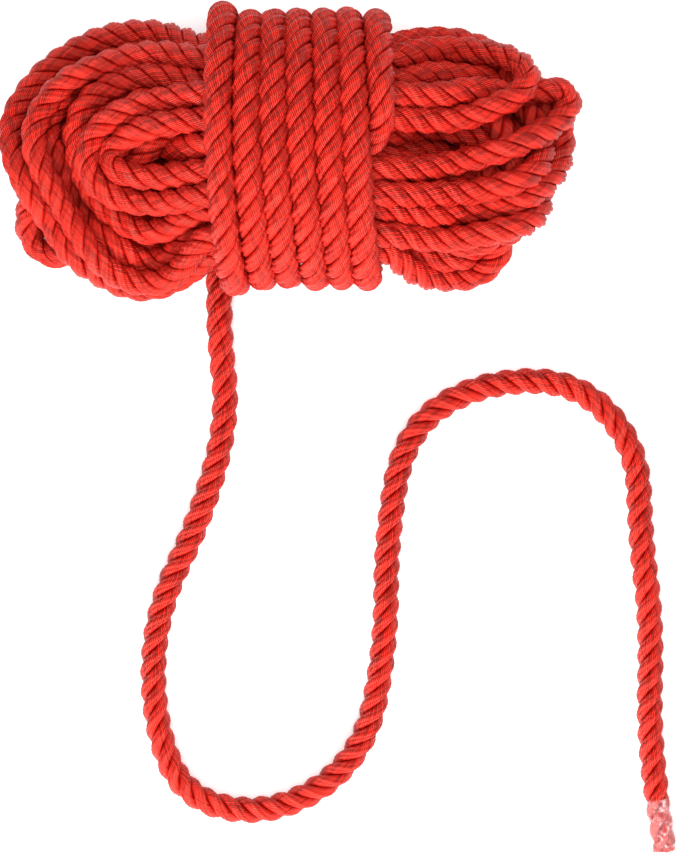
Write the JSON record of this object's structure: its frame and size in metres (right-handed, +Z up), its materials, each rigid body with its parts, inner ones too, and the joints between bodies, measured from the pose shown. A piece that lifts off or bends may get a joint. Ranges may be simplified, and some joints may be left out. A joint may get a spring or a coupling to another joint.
{
  "type": "twisted rope hank",
  "caption": "Bound hank of three-strand twisted satin rope with a free tail and a taped end, for use as a barrier rope, handrail or trim.",
  "frame": {"origin": "on the surface that the hank rests on, under the middle of the binding's underside", "axes": "+X along the hank's length, +Y across it and away from the free tail, +Z up"},
  "size_m": [0.2219, 0.2772, 0.056],
  "materials": {
    "satin_rope": "satin yarn, soft sheen",
    "clear_tape": "clear, glossy, wrinkled"
  },
  "bodies": {
    "root": {"hank_loops": "satin_rope", "binding_turns": "satin_rope", "tail_rope": "satin_rope", "tail_end_tape": "clear_tape", "inner_end_tape": "clear_tape"}
  },
  "joints": []
}
